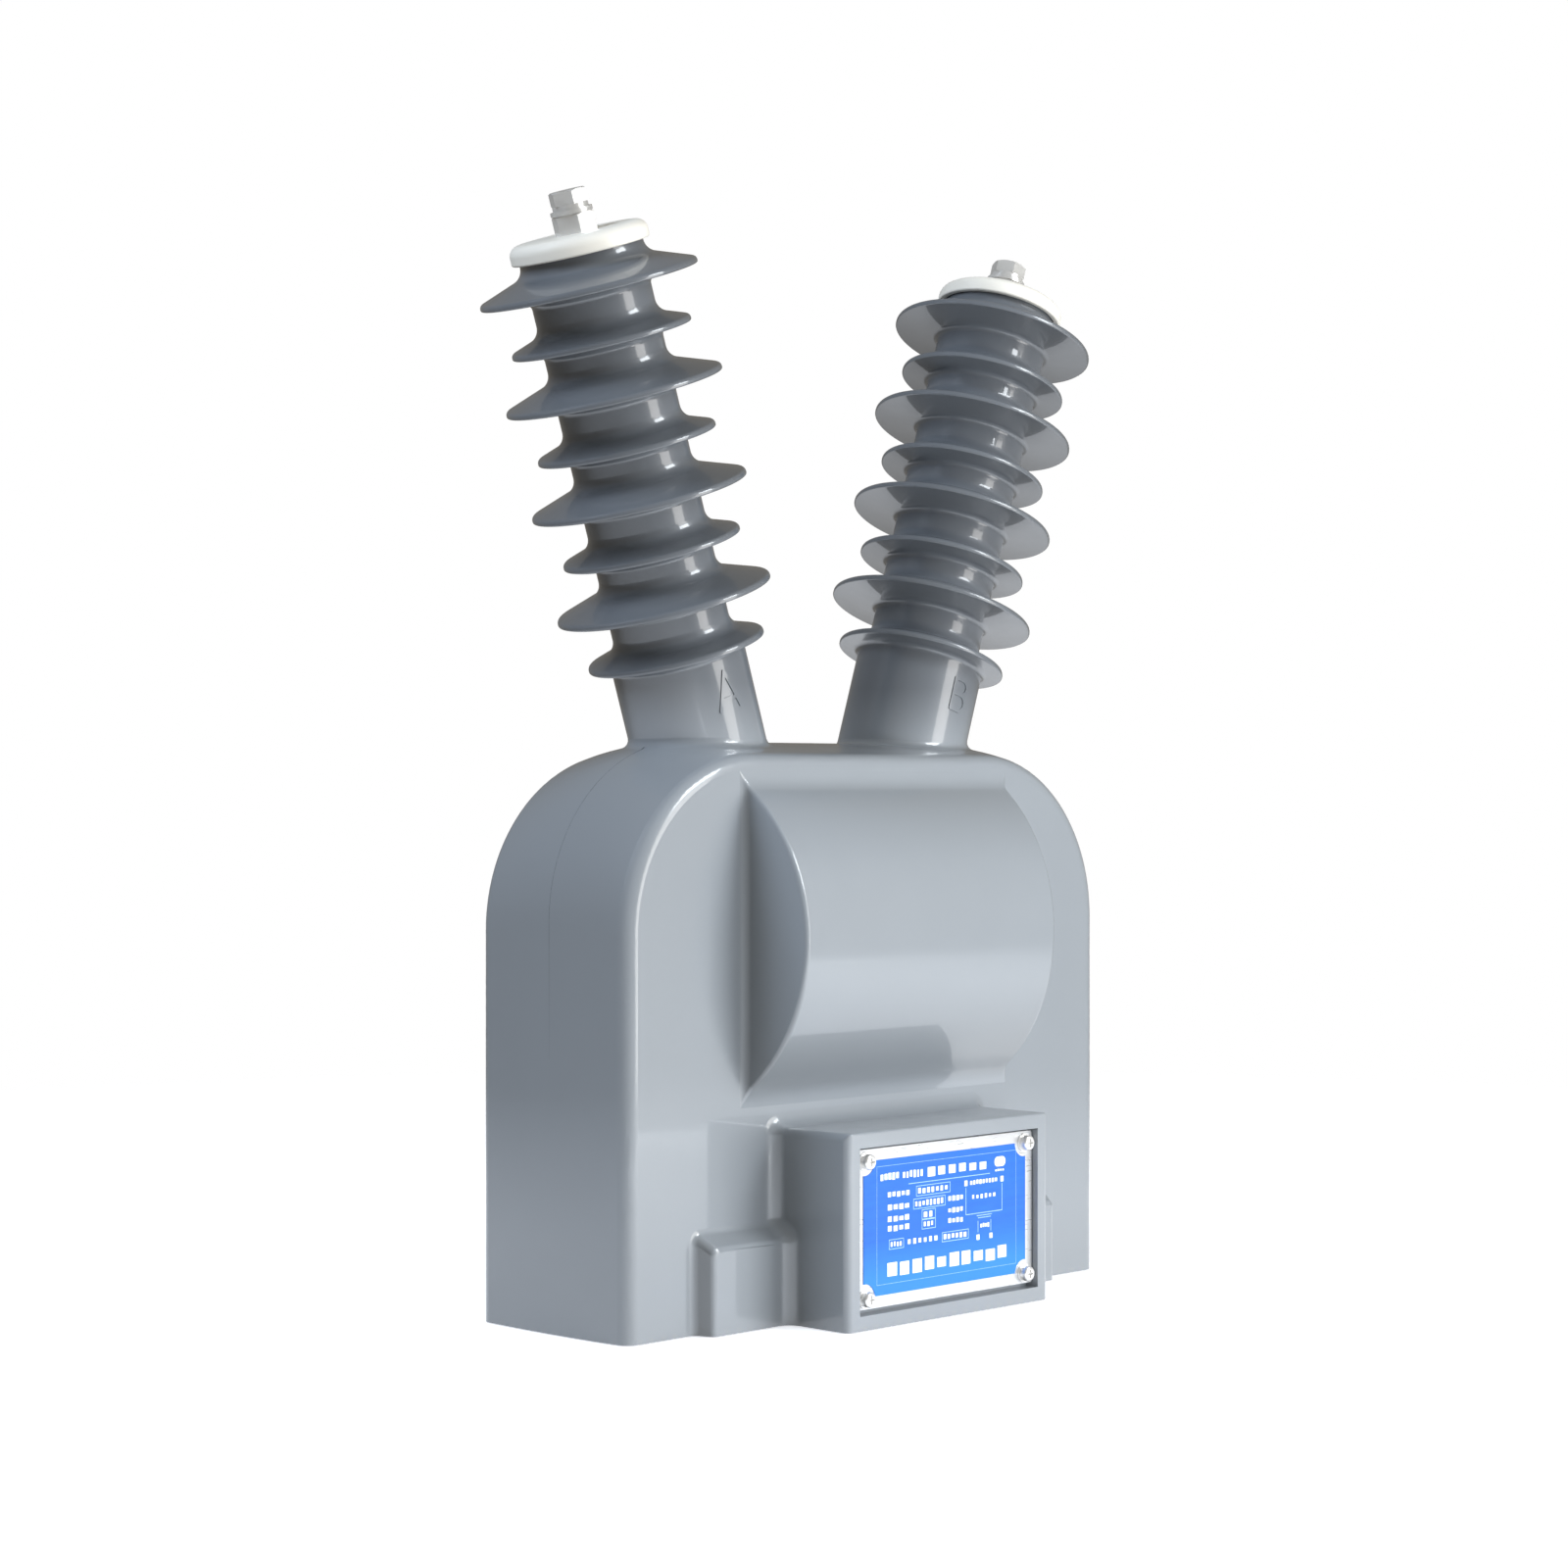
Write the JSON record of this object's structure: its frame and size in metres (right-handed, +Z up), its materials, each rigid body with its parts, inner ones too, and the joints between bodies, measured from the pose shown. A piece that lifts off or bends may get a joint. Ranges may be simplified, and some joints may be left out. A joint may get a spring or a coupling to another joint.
{
  "type": "voltage transformer",
  "caption": "Outdoor cast-resin voltage transformer: tombstone body with coil barrel, two ribbed bushings splayed in a V, and a low-voltage terminal box with a screwed cover.",
  "frame": {"origin": "centre of the four base inserts, on the underside of the base", "axes": "+Z up, +X across the front from bushing A to bushing B, the terminal box faces -Y"},
  "size_m": [0.3864, 0.1887, 0.5316],
  "materials": {
    "cast_resin": "glossy cast epoxy resin",
    "cap_metal": "satin tin-plated metal",
    "bright_steel": "bright zinc-plated steel",
    "terminal_brass": "machined brass",
    "tinned_brass": "tin-plated brass",
    "core_steel": "wound silicon steel strip",
    "band_steel": "steel strap",
    "copper_wire": "enamelled copper",
    "insulation": "pressboard and film",
    "former_plastic": "moulded former",
    "board_plastic": "moulded phenolic",
    "seal_rubber": "matt rubber",
    "plate_metal": "satin sheet",
    "label_blue": "glossy printed foil",
    "screen_foil": "foil"
  },
  "bodies": {
    "housing": {"resin_body": "cast_resin", "resin_bushing_a": "cast_resin", "resin_bushing_b": "cast_resin", "core_half_left": "core_steel", "core_half_right": "core_steel", "core_band": "band_steel", "winding_former": "former_plastic", "secondary_winding": "copper_wire", "insulation_barrier": "insulation", "primary_winding": "copper_wire", "winding_shield": "screen_foil", "secondary_lead_1a": "copper_wire", "secondary_lead_1b": "copper_wire", "core_earth_lead": "copper_wire", "base_inserts": "terminal_brass", "cover_inserts": "terminal_brass", "secondary_studs": "terminal_brass", "earth_stud": "terminal_brass", "hv_lead_a": "copper_wire", "hv_lead_b": "copper_wire", "hv_insert_a": "tinned_brass", "hv_insert_b": "tinned_brass", "terminal_cap_a": "cap_metal", "terminal_cap_b": "cap_metal", "terminal_board": "board_plastic", "stud_lock_nuts": "terminal_brass", "cable_grommet": "seal_rubber"},
    "hv_washers_a": {"hv_flat_washer_a": "bright_steel", "hv_spring_washer_a": "bright_steel"},
    "hv_bolt_a": {"hv_bolt_a": "bright_steel"},
    "hv_washers_b": {"hv_flat_washer_b": "bright_steel", "hv_spring_washer_b": "bright_steel"},
    "hv_bolt_b": {"hv_bolt_b": "bright_steel"},
    "cover": {"cover_plate": "plate_metal", "cover_gasket": "seal_rubber", "rating_label": "label_blue"},
    "cover_washers_1": {"cover_flat_washer_1": "bright_steel", "cover_spring_washer_1": "bright_steel"},
    "cover_screw_1": {"cover_screw_1": "bright_steel"},
    "cover_washers_2": {"cover_flat_washer_2": "bright_steel", "cover_spring_washer_2": "bright_steel"},
    "cover_screw_2": {"cover_screw_2": "bright_steel"},
    "cover_washers_3": {"cover_flat_washer_3": "bright_steel", "cover_spring_washer_3": "bright_steel"},
    "cover_screw_3": {"cover_screw_3": "bright_steel"},
    "cover_washers_4": {"cover_flat_washer_4": "bright_steel", "cover_spring_washer_4": "bright_steel"},
    "cover_screw_4": {"cover_screw_4": "bright_steel"},
    "terminal_washer_1a": {"terminal_washer_1a": "terminal_brass"},
    "terminal_nut_1a": {"terminal_nut_1a": "terminal_brass"},
    "terminal_washer_1b": {"terminal_washer_1b": "terminal_brass"},
    "terminal_nut_1b": {"terminal_nut_1b": "terminal_brass"},
    "terminal_washer_earth": {"terminal_washer_earth": "terminal_brass"},
    "terminal_nut_earth": {"terminal_nut_earth": "terminal_brass"}
  },
  "joints": [
    {"name": "hv_bolt_a_lift", "type": "slide", "parent": "housing", "child": "hv_washers_a", "axis": [-0.3158, 0, 0.9488], "range_m": [0, 0.015]},
    {"name": "hv_bolt_a_turn", "type": "hinge", "parent": "hv_washers_a", "child": "hv_bolt_a", "pos_m": [-0.15573, 0, 0.52299], "axis": [-0.3158, 0, 0.9488], "range_deg": [0, 3600]},
    {"name": "hv_bolt_b_lift", "type": "slide", "parent": "housing", "child": "hv_washers_b", "axis": [0.3158, 0, 0.9488], "range_m": [0, 0.015]},
    {"name": "hv_bolt_b_turn", "type": "hinge", "parent": "hv_washers_b", "child": "hv_bolt_b", "pos_m": [0.15573, 0, 0.52299], "axis": [0.3158, 0, 0.9488], "range_deg": [0, 3600]},
    {"name": "cover_pull", "type": "slide", "parent": "housing", "child": "cover", "axis": [0, -1, 0], "range_m": [0, 0.08]},
    {"name": "cover_screw_1_lift", "type": "slide", "parent": "cover", "child": "cover_washers_1", "axis": [0, -1, 0], "range_m": [0, 0.0098]},
    {"name": "cover_screw_1_turn", "type": "hinge", "parent": "cover_washers_1", "child": "cover_screw_1", "pos_m": [-0.057, -0.0969, 0.078], "axis": [0, -1, 0], "range_deg": [0, 5040]},
    {"name": "cover_screw_2_lift", "type": "slide", "parent": "cover", "child": "cover_washers_2", "axis": [0, -1, 0], "range_m": [0, 0.0098]},
    {"name": "cover_screw_2_turn", "type": "hinge", "parent": "cover_washers_2", "child": "cover_screw_2", "pos_m": [0.057, -0.0969, 0.078], "axis": [0, -1, 0], "range_deg": [0, 5040]},
    {"name": "cover_screw_3_lift", "type": "slide", "parent": "cover", "child": "cover_washers_3", "axis": [0, -1, 0], "range_m": [0, 0.0098]},
    {"name": "cover_screw_3_turn", "type": "hinge", "parent": "cover_washers_3", "child": "cover_screw_3", "pos_m": [-0.057, -0.0969, 0.014], "axis": [0, -1, 0], "range_deg": [0, 5040]},
    {"name": "cover_screw_4_lift", "type": "slide", "parent": "cover", "child": "cover_washers_4", "axis": [0, -1, 0], "range_m": [0, 0.0098]},
    {"name": "cover_screw_4_turn", "type": "hinge", "parent": "cover_washers_4", "child": "cover_screw_4", "pos_m": [0.057, -0.0969, 0.014], "axis": [0, -1, 0], "range_deg": [0, 5040]},
    {"name": "terminal_nut_1a_lift", "type": "slide", "parent": "housing", "child": "terminal_washer_1a", "axis": [0, -1, 0], "range_m": [0, 0.01]},
    {"name": "terminal_nut_1a_turn", "type": "hinge", "parent": "terminal_washer_1a", "child": "terminal_nut_1a", "pos_m": [-0.03, -0.0626, 0.052], "axis": [0, -1, 0], "range_deg": [0, 3600]},
    {"name": "terminal_nut_1b_lift", "type": "slide", "parent": "housing", "child": "terminal_washer_1b", "axis": [0, -1, 0], "range_m": [0, 0.01]},
    {"name": "terminal_nut_1b_turn", "type": "hinge", "parent": "terminal_washer_1b", "child": "terminal_nut_1b", "pos_m": [0.03, -0.0626, 0.052], "axis": [0, -1, 0], "range_deg": [0, 3600]},
    {"name": "terminal_nut_earth_lift", "type": "slide", "parent": "housing", "child": "terminal_washer_earth", "axis": [0, -1, 0], "range_m": [0, 0.01]},
    {"name": "terminal_nut_earth_turn", "type": "hinge", "parent": "terminal_washer_earth", "child": "terminal_nut_earth", "pos_m": [0, -0.0626, 0.038], "axis": [0, -1, 0], "range_deg": [0, 3600]}
  ],
  "couplings": [
    {"joint": "hv_bolt_a_turn", "follows": "hv_bolt_a_lift", "rad_per_m": 4188.8},
    {"joint": "hv_bolt_b_turn", "follows": "hv_bolt_b_lift", "rad_per_m": 4188.8},
    {"joint": "cover_screw_1_turn", "follows": "cover_screw_1_lift", "rad_per_m": 8976},
    {"joint": "cover_screw_2_turn", "follows": "cover_screw_2_lift", "rad_per_m": 8976},
    {"joint": "cover_screw_3_turn", "follows": "cover_screw_3_lift", "rad_per_m": 8976},
    {"joint": "cover_screw_4_turn", "follows": "cover_screw_4_lift", "rad_per_m": 8976},
    {"joint": "terminal_nut_1a_turn", "follows": "terminal_nut_1a_lift", "rad_per_m": 6283.2},
    {"joint": "terminal_nut_1b_turn", "follows": "terminal_nut_1b_lift", "rad_per_m": 6283.2},
    {"joint": "terminal_nut_earth_turn", "follows": "terminal_nut_earth_lift", "rad_per_m": 6283.2}
  ]
}
